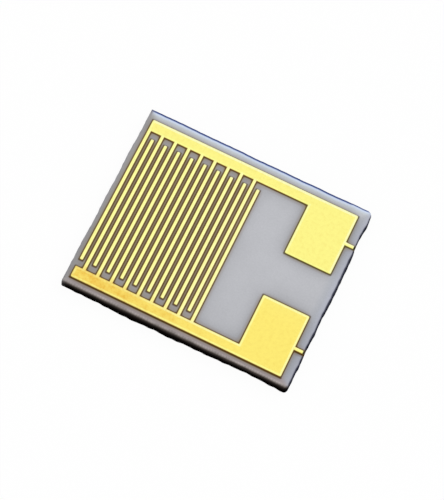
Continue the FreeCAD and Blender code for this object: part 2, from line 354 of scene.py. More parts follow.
@dataclass(frozen=True)
class PrintLayout:
    """Where the two combs lie on the plate, in millimetres."""

    left: float = -4.815
    right: float = 4.51
    top: float = 3.74
    bottom: float = -3.81
    bus_width: float = 0.5
    line: float = 0.15
    gap: float = 0.15
    fingers: int = 9
    tip_clearance: float = 0.3
    pad_left: float = 2.445
    pad_width: float = 2.79
    stub_width: float = 0.15
    stub_offset: float = 1.32
    stub_end: float = 4.93
    tip_radius: float = 0.06
    root_radius: float = 0.04
    corner_radius: float = 0.08
    # The painted gap shade is shifted this far towards -Y
    gap_shade_shift: float = 0.04
    # Share of the painted shadow, of the gap shade's shift and of the light that edges facing the
    # middle of the plate show
    inner_share: float = 0.3
    # How many of a comb's rectangles, from the first, aren't fingers
    wide_boxes: int = 3
    # Edges that the screen printed a hair off: place along Y, and how far towards +Y each lies off
    # its place at the left and at the right
    drifts: tuple[tuple[float, float, float], ...] = (
        (3.24, -0.014, -0.004), (2.94, -0.009, -0.009), (0.95, 0.0, 0.005), (-1.02, 0.0, 0.004),
        (-3.01, 0.011, 0.011), (-3.31, -0.001, -0.005),
    )
    # Places along X between which a drift changes, and how far along Y it reaches
    drift_span: tuple[float, float] = (-1.0, 1.5)
    drift_reach: float = 0.15
    # How the light catches edges that face -Y, +Y, -X and +X, and the lower comb's tips
    side_light: Steps = (-1.0, 1.0, -0.5, 0.3)
    tip_light: float = 0.95
    # Reach and strength of the painted shadow along edges that face -Y, sideways and +Y, and its soft end
    print_shadow_reach: Steps = (0.093, 0.06, 0.045)
    print_shadow_strength: Steps = (1.0, 0.8, 0.3)
    print_shadow_end: float = 0.03
    # Half the width over which the brown painted gap shade and the faint darkening fade out, and the
    # distances from the plate's middle between which the shift of the gap shade grows from its inner
    # share to all of it
    gap_shade_reach: float = 0.12
    haze_reach: float = 0.35
    gap_shade_shift_span: tuple[float, float] = (3.3, 3.7)

    def outer(self, comb: Comb) -> float:
        """Place along Y of the comb's outer edge."""
        return self.top if comb is Comb.UPPER else self.bottom

    def inner(self, comb: Comb) -> float:
        """Place along Y of the inner edge of the comb's bus."""
        return self.outer(comb) - comb.value * self.bus_width

    def tip(self, comb: Comb) -> float:
        """Place along Y of the comb's finger tips."""
        other = Comb(-comb.value)
        return self.inner(other) + comb.value * self.tip_clearance

    def pad_inner(self, comb: Comb) -> float:
        """Place along Y of the inner edge of the comb's pad."""
        return self.outer(comb) - comb.value * self.pad_width

    def stub_middle(self, comb: Comb) -> float:
        """Place along Y of the middle of the comb's stub."""
        return self.outer(comb) - comb.value * self.stub_offset

    def finger_lefts(self, comb: Comb) -> Array:
        """Places along X of the left sides of the comb's fingers, each second one of the pattern."""
        pitch = self.line + self.gap
        return self.left + pitch * (2 * np.arange(self.fingers) + (comb is Comb.LOWER))

    def boxes(self, comb: Comb, lap: float) -> Array:
        """Rectangles that a comb is made of.

        Args:
            comb: which comb.
            lap: how far the fingers, the pad and the stub run on into their neighbour.

        Returns:
            One row of left, right, low and high for each rectangle: bus, pad, stub, fingers.
        """
        root = self.inner(comb) + comb.value * lap
        middle, half = self.stub_middle(comb), self.stub_width / 2
        lefts = self.finger_lefts(comb)
        ends = np.tile([root, self.tip(comb)], (self.fingers, 1))
        rows = np.vstack([
            [self.left, self.right, self.outer(comb), self.inner(comb)],
            [self.pad_left, self.right, root, self.pad_inner(comb)],
            [self.right - lap, self.stub_end, middle - half, middle + half],
            np.column_stack([lefts, lefts + self.line, ends]),
        ])
        rows[:, 2:] = np.sort(rows[:, 2:], axis=1)
        return rows

    def rounds(self, comb: Comb) -> Array:
        """Rounded corners of a comb's outline.

        Args:
            comb: which comb.

        Returns:
            One row for each corner: X and Y of the sharp corner, the two signs that lead from it
            to the middle of its arc, and the radius.
        """
        up = comb.value
        lefts = self.finger_lefts(comb)
        rights = lefts + self.line
        roots = lefts if comb is Comb.LOWER else lefts[1:]
        inner, tip, middle = self.inner(comb), self.tip(comb), self.stub_middle(comb)
        outer, pad_inner = self.outer(comb), self.pad_inner(comb)
        rows = [(x, tip, 1, up, self.tip_radius) for x in lefts]
        rows += [(x, tip, -1, up, self.tip_radius) for x in rights]
        rows += [(x, inner, -1, -up, self.root_radius) for x in (*roots, self.pad_left)]
        rows += [(x, inner, 1, -up, self.root_radius) for x in rights]
        for side in (-1, 1):
            y = middle + side * self.stub_width / 2
            rows.append((self.right, y, 1, side, self.root_radius))
            rows.append((self.stub_end, y, -1, -side, self.root_radius))
        rows += [
            (self.left, outer, 1, -up, self.corner_radius),
            (self.right, outer, -1, -up, self.corner_radius),
            (self.right, pad_inner, -1, up, self.corner_radius),
            (self.pad_left, pad_inner, 1, up, self.corner_radius),
        ]
        if comb is Comb.LOWER:
            rows.append((self.left, inner, 1, up, self.root_radius))
        return np.array(rows, dtype=float)

    def edges(self) -> tuple[Array, Array]:
        """Outline edges of both combs, as places along X and along Y.

        Returns:
            Two arrays with one row for each edge: its place, and the sign that leads into the gold.
        """
        across = [(self.left, 1), (self.pad_left, 1), (self.right, -1), (self.stub_end, -1)]
        up_down = []
        for comb in Comb:
            up, middle, half = comb.value, self.stub_middle(comb), self.stub_width / 2
            for x in self.finger_lefts(comb):
                across += [(x, 1), (x + self.line, -1)]
            up_down += [(self.outer(comb), -up), (middle - half, 1), (middle + half, -1)]
            up_down += [(self.inner(comb), up), (self.tip(comb), up), (self.pad_inner(comb), up)]
        return np.array(across), np.array(up_down)

    def grid_lines(
        self, inner_steps: Steps, outer_steps: Steps, widest: tuple[float, float]
    ) -> tuple[Array, Array]:
        """Grid lines that follow every edge of the print.

        Args:
            inner_steps: distances of the lines inside each edge.
            outer_steps: distances of the lines outside each edge.
            widest: largest distance between lines along X and along Y.

        Returns:
            The places of the lines along X and along Y.
        """
        steps = np.r_[0.0, inner_steps, -np.array(outer_steps)]
        across, up_down = ((marks[:, :1] + marks[:, 1:] * steps).ravel() for marks in self.edges())
        return fill_lines(across, widest[0]), fill_lines(up_down, widest[1])

    def round_off(self, x: Array, y: Array) -> tuple[Array, Array]:
        """Moves the points of a square grid so that the print's corners are round and its edges drift.

        In the square between a sharp corner and the middle of its arc, with a and b the distances
        from that middle over the radius, a point goes to a * sqrt(1 - b^2 / 2) and
        b * sqrt(1 - a^2 / 2). That turns the square's two outer sides into the arc and leaves its
        inner sides alone. A drift moves the points of its edge, and those beside it less and less.

        Args:
            x: places along X.
            y: places along Y.

        Returns:
            The moved places.
        """
        moved_x, moved_y = x.copy(), y.copy()
        corners = np.vstack([self.rounds(comb) for comb in Comb])
        for corner_x, corner_y, sign_x, sign_y, radius in corners:
            a = 1 - (x - corner_x) * sign_x / radius
            b = 1 - (y - corner_y) * sign_y / radius
            near = (a > 0) & (a < 1 + HAIR) & (b > 0) & (b < 1 + HAIR)
            a, b = a[near], b[near]
            moved_x[near] = corner_x + sign_x * radius * (1 - a * np.sqrt(1 - b**2 / 2))
            moved_y[near] = corner_y + sign_y * radius * (1 - b * np.sqrt(1 - a**2 / 2))
        for place, at_left, at_right in self.drifts:
            shift = np.interp(x, self.drift_span, (at_left, at_right))
            moved_y += shift * np.interp(np.abs(y - place), (0.0, self.drift_reach), (1.0, 0.0))
        return moved_x, moved_y

    def inside(self, comb: Comb, x: Array, y: Array) -> Array:
        """How far points lie inside the sides of a comb's rectangles.

        Args:
            comb: which comb.
            x: places along X.
            y: places along Y.

        Returns:
            The distances from the sides that face -Y, +Y, -X and +X, then for each rectangle, then
            for each point.
        """
        left, right, low, high = self.boxes(comb, self.bus_width / 2).T[:, :, None]
        x, y = x.ravel(), y.ravel()
        return np.stack([y - low, high - y, x - left, right - x])

    def depth(self, comb: Comb, x: Array, y: Array) -> Array:
        """Distance inside a comb's outline: the deepest that a point lies in any of its rectangles."""
        return self.inside(comb, x, y).min(axis=0).max(axis=0).reshape(x.shape)

    def facing(self, comb: Comb, x: Array, y: Array) -> Array:
        """How the light catches the nearest edge of a comb.

        That is the nearest side of the rectangle that a point lies deepest in.

        Args:
            comb: which comb.
            x: places along X.
            y: places along Y.

        Returns:
            From -1 for an edge that faces -Y to 1 for one that faces +Y. The lower comb's inner
            edges and all edges that face sideways lie between.
        """
        inside = self.inside(comb, x, y)
        deepest = inside.min(axis=0).argmax(axis=0)
        sides = np.take_along_axis(inside, deepest[None, None, :], axis=1)[:, 0]
        nearest = sides.argmin(axis=0)
        light = np.array(self.side_light)[nearest]
        if comb is Comb.LOWER:
            inner_light = np.where(deepest < self.wide_boxes, self.inner_share, self.tip_light)
            light = np.where(nearest == 1, inner_light, light)
        return light.reshape(x.shape)

    def seam(self, x: Array, y: Array) -> Array:
        """Strength of the dark painted shadow along the outside of the print.

        It falls from full to nothing over the end of its reach. Both the reach and the strength
        are greatest along the edges that face -Y.

        Args:
            x: places along X.
            y: places along Y.

        Returns:
            The strength at each point.
        """
        rows = np.vstack([self.boxes(comb, 0.0) for comb in Comb])
        left, right, low, high = rows.T[:, :, None]
        points_x, points_y = x.ravel(), y.ravel()
        away_x = np.maximum(0.0, np.maximum(left - points_x, points_x - right))
        away_y = np.maximum(0.0, points_y - high) - np.maximum(0.0, low - points_y)
        distance = np.hypot(away_x, away_y)
        nearest = distance.argmin(axis=0)[None, :]
        found = np.take_along_axis(distance, nearest, axis=0)[0]
        lead = np.take_along_axis(away_y, nearest, axis=0)[0] / np.maximum(found, HAIR)
        count = len(rows) // len(Comb)
        side = np.repeat([comb.value for comb in Comb], count)[nearest[0]]
        inner = (lead * side < 0) & ((side > 0) | (nearest[0] % count < self.wide_boxes))
        lead = lead * np.where(inner, self.inner_share, 1.0)
        reach = np.interp(lead, (-1, 0, 1), self.print_shadow_reach)
        strength = np.interp(lead, (-1, 0, 1), self.print_shadow_strength)
        return (strength * np.clip((reach - found) / self.print_shadow_end, 0.0, 1.0)).reshape(x.shape)

    def density(self, x: Array, y: Array, reach: float) -> Array:
        """Share of print round each point: the sum of soft boxes, one for each rectangle.

        A soft box is the product of two smooth steps up and down, each half a hyperbolic tangent.

        Args:
            x: places along X.
            y: places along Y.
            reach: half the width of a step.

        Returns:
            The share at each point.
        """
        total = np.zeros(x.shape)
        for comb in Comb:
            for left, right, low, high in self.boxes(comb, 0.0):
                along = np.tanh((x - left) / reach) - np.tanh((x - right) / reach)
                across = np.tanh((y - low) / reach) - np.tanh((y - high) / reach)
                total += along * across / 4
        return total

    def shade_round_print(self, x: Array, y: Array) -> dict[str, Array]:
        """Painted shade that the print casts on the plate, and a wide, faint darkening round it.

        Args:
            x: places along X.
            y: places along Y.

        Returns:
            Strength of the painted shadow, and share of print for the brown painted gap shade and the
            wide, faint darkening.
        """
        outwards = np.interp(np.abs(y), self.gap_shade_shift_span, (self.inner_share, 1.0))
        return {
            "seam": self.seam(x, y),
            "stain": self.density(x, y + self.gap_shade_shift * outwards, self.gap_shade_reach),
            "haze": self.density(x, y, self.haze_reach),
        }


# Finishes


@dataclass(frozen=True)
class FiredAlumina:
    """As-fired 96 percent alumina: pressed from white powder and fired, grey and quite matt.

    The fired skin gives an even light grey with a faint cloudiness and a fine grain. Beside the
    print a brown painted shade darkens the skin, most where lines stand close together, and a thin
    dark painted shadow runs past the print's edges that face -Y. Over the rim and down the sides
    the colours are painted shade, with a painted highlight and a dark painted line along the back.
    """

    name: str = "as-fired alumina"
    roughness: float = 0.6
    uneven: float = 0.08
    specular: float = 0.2
    relief: tuple[float, float] = (0.25, 0.002)
    # Range of the distance in from the plate's edge in millimetres, or down its side where
    # negative, and the colours at each side over that distance. Near the edge the colours are
    # painted shade over the rim and down the side, with a painted highlight and a dark painted line
    # along the back.
    run_range: tuple[float, float] = (-0.4, 0.6)
    front: Stops = (
        (0.60, "BCBDC2"), (0.33, "AAA1A3"), (0.19, "A69B9D"), (0.14, "AAA0A1"), (0.09, "B3A9A7"),
        (0.06, "AAA19E"), (0.035, "89807B"), (0.016, "645B55"), (0.0, "3F3835"), (-0.09, "211C1B"),
        (-0.2, "0F0B0A"), (-0.4, "050303"),
    )
    back: Stops = (
        (0.60, "BCBDC2"), (0.26, "CACDD2"), (0.21, "CCD2D7"), (0.17, "D0D9E3"), (0.12, "D6E3FA"),
        (0.094, "CEDBF4"), (0.075, "7F8EB8"), (0.05, "2B4181"), (0.0, "152A6C"), (-0.025, "1C2B5A"),
        (-0.09, "2C2E36"), (-0.4, "3A3A40"),
    )
    right: Stops = (
        (0.60, "BCBDC2"), (0.30, "B1B4BB"), (0.15, "B4B7C2"), (0.093, "ABADB9"), (0.068, "595B6A"),
        (0.04, "2A2C3C"), (0.0, "23252F"), (-0.06, "1A1B22"), (-0.4, "0A0A0E"),
    )
    left: Stops = (
        (0.60, "BABABE"), (0.30, "ACABA9"), (0.08, "A19F9F"), (0.0, "9B9A9F"), (-0.03, "7A7877"),
        (-0.4, "5E5B59"),
    )
    # Brown painted shade between the print's lines over the share of print round a point, and how far
    # it covers the skin there
    stain: Stops = ((0.1, "867570"), (0.3, "938976"), (0.5, "765E42"))
    gap_shade_cover: Fade = (0.06, 0.42)
    # The painted gap shade is lighter in the two gaps beside the last fingers, and darker again at its
    # edge past them.
    spared: Fade = (-0.3, 0.2, 1.0, 1.22)
    past_fingers: Fade = (0.4, 1.2, 1.0, 0.85)
    # How much of its lightness the skin keeps over the wide, faint share of print round a point
    dulled: Fade = (0.0, 1.0, 1.0, 0.37)
    # Painted shadow along the print's edges, and round the upper pad
    print_shadow_colours: tuple[str, str] = ("4C3401", "4C4210")
    # Painted shade makes the plate a little darker towards the front, most along its ends
    fired: Fade = (0.6, -2.4, 1.0, 0.95)
    front_shade_ends: Fade = (0.4, -3.9, 1.0, 0.93)
    clouds: Noise = (1.6, 5.0, 0.75)
    cloudy: Fade = (0.3, 0.7, 0.96, 1.04)
    # Real grains are near 0.004 mm, too fine to show, so they are drawn coarser
    grains: Noise = (0.07, 2.0, 0.7)
    grained: Fade = (0.25, 0.75, 0.95, 1.05)

    def colour(self, add: Adder) -> Socket:
        """Adds the nodes that colour the plate.

        Args:
            add: adds a node to the tree.

        Returns:
            The socket with the colour.
        """
        names = ("edge_run", "at_front", "at_back", "at_right", "seam", "stain", "haze")
        edge_run, at_front, at_back, at_right, seam, stain, haze = (
            add("Attribute", attribute_name=name, output="Fac") for name in names
        )
        _, x, y, _ = object_place(add)
        run = fade(add, (edge_run, self.run_range))
        # The edge ramps paint the shade over the rim and the sides, and a highlight along the back
        front, back, right, left = (
            self.ramp(add, run, stops) for stops in (self.front, self.back, self.right, self.left)
        )
        # Painted shade darkens the skin towards the front, most along its ends
        ends = shade(add, coat(add, left, (at_right, right)), (y, self.front_shade_ends))
        skin = coat(add, ends, (at_back, back), (at_front, front))
        skin = shade(add, skin, (y, self.fired), (haze, self.dulled))
        # Brown painted shade between the print's lines
        brown = shade(
            add, add("ValToRGB", stain, stops=self.stain), (x, self.spared), (x, self.past_fingers)
        )
        # Painted shadow along the outside of the print
        plain, olive = self.print_shadow_colours
        paste = coat(add, plain, (upper_pad(add, x, y), olive))
        return coat(add, skin, (fade(add, (stain, self.gap_shade_cover)), brown), (seam, paste))

    def ramp(self, add: Adder, run: Socket, stops: Stops) -> Socket:
        """Adds a colour ramp over the distance from the plate's edge.

        Args:
            add: adds a node to the tree.
            run: the distance, as a share of run_range.
            stops: distance in millimetres and colour of each stop.

        Returns:
            The socket with the colour.
        """
        low, high = self.run_range
        shares = tuple(((place - low) / (high - low), colour) for place, colour in stops)
        return add("ValToRGB", run, stops=shares)

    def material(self) -> bpy.types.Material:
        """Makes the material.

        Returns:
            The new material.
        """
        material, add = new_tree(self.name)
        place, *_ = object_place(add)
        cloud, grain = texture(add, place, self.clouds), texture(add, place, self.grains)
        levels = (0.0, 1.0, self.roughness - self.uneven, self.roughness + self.uneven)
        add_surface(add, self.relief, grain, {
            "Base Color": shade(add, self.colour(add), (cloud, self.cloudy), (grain, self.grained)),
            "Roughness": fade(add, (grain, levels)),
            "Specular IOR Level": self.specular,
        })
        return material


@dataclass(frozen=True)
class ScribedAlumina(FiredAlumina):
    """Alumina edges that were laser scribed and snapped: rough and without any gloss.

    The laser drilled a row of blind holes, whose half rounds flute the upper part of each side,
    and left a melt that runs up over the rim. The dark colour of the rim and the side is painted
    shade, and each flute carries painted shade and light. Below the holes the side is a bare
    fracture.
    """

    name: str = "laser-scribed alumina edge"
    roughness: float = 0.95
    specular: float = 0.0
    relief: tuple[float, float] = (1.0, 0.008)
    hole_pitch: float = 0.12
    # Heights at which the holes end and are whole
    hole_floor: Fade = (0.23, 0.33)
    # Painted shade and light across each flute
    flute_shading: Fade = (-1.0, 1.0, 0.94, 1.06)
    # Streaks of the melt along the side, and how many times longer they are than high
    streaks: Noise = (0.55, 3.0, 0.5)
    streak_stretch: float = 4.0
    streaked: Fade = (0.3, 0.7, 0.72, 1.28)
    # Crumbs of the fracture, and their height next to that of the flutes
    crumbs: Noise = (0.05, 4.0, 0.7)
    crumb_height: float = 1.6

    def material(self) -> bpy.types.Material:
        """Makes the material.

        Returns:
            The new material.
        """
        material, add = new_tree(self.name)
        place, _, _, height = object_place(add)
        along = add("Attribute", attribute_name="along_side", output="Fac")
        turns = add("Math", along, 2 * math.pi / self.hole_pitch, operation="MULTIPLY")
        waves = add("Math", turns, operation="COSINE")
        flutes = add("Math", waves, fade(add, (height, self.hole_floor)), operation="MULTIPLY")
        raised = add("Math", height, self.streak_stretch, operation="MULTIPLY")
        streaks = texture(add, add("CombineXYZ", along, raised), self.streaks)
        crumbs = texture(add, place, self.crumbs)
        crumbled = add("Math", crumbs, self.crumb_height, flutes, operation="MULTIPLY_ADD")
        # The colour carries painted shade over the rim and the side and across the flutes
        add_surface(add, self.relief, crumbled, {
            "Base Color": shade(add, self.colour(add), (flutes, self.flute_shading), (streaks, self.streaked)),
            "Roughness": self.roughness,
            "Specular IOR Level": self.specular,
        })
        return material


@dataclass(frozen=True)
class FiredGold:
    """Screen-printed thick-film gold, fired on to the ceramic: a satin, pale yellow skin.

    The paste slumps at its edges, where a thin brown painted shade lines the film, and just inside
    it a pale painted highlight runs along the edges. Away from the edges it is a deeper yellow with
    a faint mottle from the screen, and painted shade makes it more orange towards the lower comb.

    The fades read the place in millimetres, the distance in from the film's edge or the way that
    edge faces: -1 towards the front, 1 towards the back.
    """

    name: str = "fired thick-film gold"
    roughness: float = 0.38
    uneven: float = 0.06
    relief: tuple[float, float] = (0.3, 0.001)
    # The film at the upper comb, and with painted shade towards the lower one
    body: str = "FFF78D"
    shaded_yellow: str = "FFEC77"
    shade_towards_front: Fade = (1.2, -2.0)
    # Painted shade darkens the bus of the lower comb towards the left, broken into patches
    orange_fleck_and_shade: str = "F3CB59"
    low_edge: Fade = (-3.0, -3.3)
    far_left: Fade = (2.4, -3.4)
    patches: Noise = (0.42, 4.0, 0.7)
    blotched: Fade = (0.38, 0.64, 0.4, 1.05)
    # The painted highlight along the edges gets paler towards the right, but not where it faces the
    # front. It is yellower on the lower pad and whitest where it faces the back.
    pale_left: str = "FFFFA1"
    pale_right: str = "FFFFB8"
    pale_low: str = "FFFDA0"
    pale_front: str = "FFFF98"
    pale_back: str = "FFFFC0"
    rightwards: Fade = (-2.5, 2.0)
    off_front: Fade = (-1.0, 0.0)
    at_pads: Fade = (0.6, 2.2)
    at_front: Fade = (-0.6, -1.0)
    # How much of the painted highlight each edge has, how it falls off inwards, and the share of it
    # that is gone in the painted shade of the lower bus, most along the inner edge
    highlight_share: Fade = (-1.0, 0.0, 0.85, 1.0)
    highlight_fall: Fade = (0.118, 0.075)
    highlight_loss: Fade = (-1.0, 0.3, -0.35, -0.75)
    # The foot's painted shade is fainter where it faces the back or lies in the lower bus's painted
    # shade, and wider where it faces the front
    # Colours of the painted shade along the film's edges
    foot: str = "8A4E00"
    olive_edge_shade: str = "826E28"
    edge_shade_share: Fade = (1.0, 0.3, 0.12, 1.0)
    edge_shade_width: Fade = (0.0, 1.0, 0.02, 0.031)
    edge_shade_start: float = 0.004
    edge_shade_kept: Fade = (0.0, 1.0, 1.0, 0.72)
    # The ends of the stubs were burnt where the laser cut through them
    scorched: str = "36342C"
    burnt: Fade = (4.862, 4.885)
    # The mottle makes specks all over, and flecks of the orange tone, more of them in the lower bus's
    # painted shade
    mottles: Noise = (0.16, 3.0, 0.65)
    flecked: Fade = (0.5, 0.35, 0.0, 0.3)
    flecks_in_shade: Fade = (0.0, 1.0, 0.25, 1.4)
    specked: Fade = (0.3, 0.7, 0.965, 1.01)
    # Sintered gold grains are near 0.003 mm, too fine to show, so they are drawn coarser
    grains: Noise = (0.03, 2.0, 0.6)

    def bead(self, add: Adder, x: Socket, facing: Socket, lower: Socket, at_front: Socket) -> Socket:
        """Adds the nodes that colour the painted highlight along the film's edges.

        Args:
            add: adds a node to the tree.
            x: place along X.
            facing: which way the nearest edge faces.
            lower: how far the place is towards the lower comb.
            at_front: how far the edge faces the front.

        Returns:
            The socket with the colour.
        """
        low_pad = add("Math", lower, fade(add, (x, self.at_pads)), operation="MULTIPLY")
        return coat(
            add, self.pale_left,
            (fade(add, (x, self.rightwards), (facing, self.off_front)), self.pale_right),
            (low_pad, self.pale_low), (at_front, self.pale_front), (facing, self.pale_back),
        )

    def colour(self, add: Adder, mottle: Socket) -> Socket:
        """Adds the nodes that colour the film.

        Args:
            add: adds a node to the tree.
            mottle: the pattern that the screen left.

        Returns:
            The socket with the colour.
        """
        place, x, y, _ = object_place(add)
        depth, facing = (
            add("Attribute", attribute_name=name, output="Fac") for name in ("film_depth", "film_facing")
        )
        # Painted shade towards the lower comb
        lower = add("MapRange", y, *self.shade_towards_front, interpolation_type="SMOOTHSTEP")
        at_front = fade(add, (facing, self.at_front))
        low_left = fade(add, (y, self.low_edge), (x, self.far_left))
        blotch = fade(add, (texture(add, place, self.patches), self.blotched))
        # Painted shade on the lower comb's bus, towards the left, in patches
        low_left_shade = add("Math", low_left, blotch, operation="MULTIPLY", use_clamp=True)
        highlight_kept = add(
            "Math", low_left, fade(add, (facing, self.highlight_loss)), 1.0, operation="MULTIPLY_ADD"
        )
        # Painted highlight along the film's edges
        full_highlight = fade(add, (facing, self.highlight_share), (depth, self.highlight_fall))
        bead = add("Math", full_highlight, highlight_kept, operation="MULTIPLY")
        # Painted shade along the film's edges
        edge_shade_band = (fade(add, (at_front, self.edge_shade_width)), self.edge_shade_start)
        foot = fade(add, (facing, self.edge_shade_share), (depth, edge_shade_band), (low_left, self.edge_shade_kept))
        tone = coat(
            add, self.body, (lower, self.shaded_yellow), (low_left_shade, self.orange_fleck_and_shade),
            (bead, self.bead(add, x, facing, lower, at_front)),
            (foot, coat(add, self.foot, (upper_pad(add, x, y), self.olive_edge_shade))),
            (fade(add, (x, self.burnt)), self.scorched),
        )
        fleck = fade(add, (mottle, self.flecked), (low_left_shade, self.flecks_in_shade))
        tone = coat(add, tone, (fleck, self.orange_fleck_and_shade), blend="MULTIPLY")
        return shade(add, tone, (mottle, self.specked))

    def material(self) -> bpy.types.Material:
        """Makes the material.

        Returns:
            The new material.
        """
        material, add = new_tree(self.name)
        place, *_ = object_place(add)
        mottle, grain = texture(add, place, self.mottles), texture(add, place, self.grains)
        levels = (0.0, 1.0, self.roughness - self.uneven, self.roughness + self.uneven)
        add_surface(add, self.relief, grain, {
            "Base Color": self.colour(add, mottle),
            "Metallic": 1.0,
            "Roughness": fade(add, (grain, levels)),
        })
        return material


@dataclass(frozen=True)
class PaperFloor:
    """Matt white studio paper. The camera, gloss and glass see it near white, with a faint shadow."""

    name: str = "white studio paper"
    colour: str = "F4F4F4"
    shade_share: float = 0.045

    def material(self) -> bpy.types.Material:
        """Makes the material.

        Returns:
            The new material.
        """
        material, add = new_tree(self.name)
        lit = add("Math", seen_ray(add), 1 - self.shade_share, operation="MULTIPLY")
        paper, glow = add("BsdfDiffuse", self.colour), add("Emission", WHITE, 1.0)
        add("OutputMaterial", add("MixShader", lit, paper, glow))
        return material


def seen_ray(add: Adder) -> Socket:
    """Adds a switch that is 1 for camera, glossy and transmission rays and 0 for all others.

    Args:
        add: adds a node to the tree of the floor or the world.

    Returns:
        The socket with the switch.
    """
    kinds = ("Is Camera Ray", "Is Glossy Ray", "Is Transmission Ray")
    rays = (add("LightPath", output=kind) for kind in kinds)
    return reduce(partial(add, "Math", operation="MAXIMUM"), rays)


# Pieces


@dataclass
class CombElectrode:
    """One comb of fired gold film: bus, fingers, contact pad and stub, in millimetres."""

    comb: Comb
    layout: PrintLayout
    finish: bpy.types.Material
    base: float = 0.635
    inner_steps: Steps = (0.004, 0.014, 0.032, 0.06, 0.075, 0.118)
    outer_steps: Steps = (0.012, 0.026, 0.04)
    widest: tuple[float, float] = (0.2, 0.3)
    # Height of the film over the distance in from its edge: a slumped foot, then a low bead
    depths: Steps = (0.0, 0.004, 0.014, 0.032, 0.06)
    heights: Steps = (0.006, 0.0094, 0.0106, 0.0105, 0.01)

    @property
    def node(self) -> str:
        """Name of the CAD node that the piece stands for."""
        return f"{self.comb.name.lower()}_comb_electrode"

    def build(self) -> bpy.types.Object:
        """Makes the film.

        The top is a height over a square grid whose lines follow the outline: the profile of
        depths and heights at each point's distance in from the edge. The same grid at the plate's
        face closes it below, and an upright quad joins the two along every edge of the outline.

        Returns:
            The finished piece.
        """
        lines = self.layout.grid_lines(self.inner_steps, self.outer_steps, self.widest)
        x, y = np.meshgrid(*lines, indexing="ij")
        middle_x = (x[:-1, :-1] + x[1:, 1:]) / 2
        middle_y = (y[:-1, :-1] + y[1:, 1:]) / 2
        kept = self.layout.depth(self.comb, middle_x, middle_y) > 0
        quads = grid_quads(np.arange(x.size).reshape(x.shape))[kept]
        used, quads = np.unique(quads, return_inverse=True)
        quads = quads.reshape(-1, 4)
        count = used.size

        depth = np.maximum(0.0, self.layout.depth(self.comb, x, y)).ravel()[used]
        round_x, round_y = (places.ravel()[used] for places in self.layout.round_off(x, y))
        top = self.base + np.interp(depth, self.depths, self.heights)
        upper = np.column_stack([round_x, round_y, top])
        lower = np.column_stack([round_x, round_y, np.full(count, self.base)])

        starts, ends = quads.ravel(), np.roll(quads, -1, axis=1).ravel()
        outline = ~np.isin(starts * count + ends, ends * count + starts)
        starts, ends = starts[outline], ends[outline]
        walls = np.column_stack([ends, starts, starts + count, ends + count])
        faces = np.vstack([quads, quads[:, ::-1] + count, walls]).tolist()

        facing = self.layout.facing(self.comb, x, y).ravel()[used]
        masks = {
            "film_depth": np.concatenate([depth, np.zeros(count)]),
            "film_facing": np.concatenate([facing, facing]),
        }
        piece = make_piece(f"{self.comb.name.lower()}_gold_film", np.vstack([upper, lower]), faces, masks)
        return self.dress(piece)

    def dress(self, piece: bpy.types.Object) -> bpy.types.Object:
        """Gives the piece its finish and its place in the frame.

        Args:
            piece: the film.

        Returns:
            The same piece.
        """
        piece.data.materials.append(self.finish)
        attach(piece, "root")
        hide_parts(self.node)
        return piece


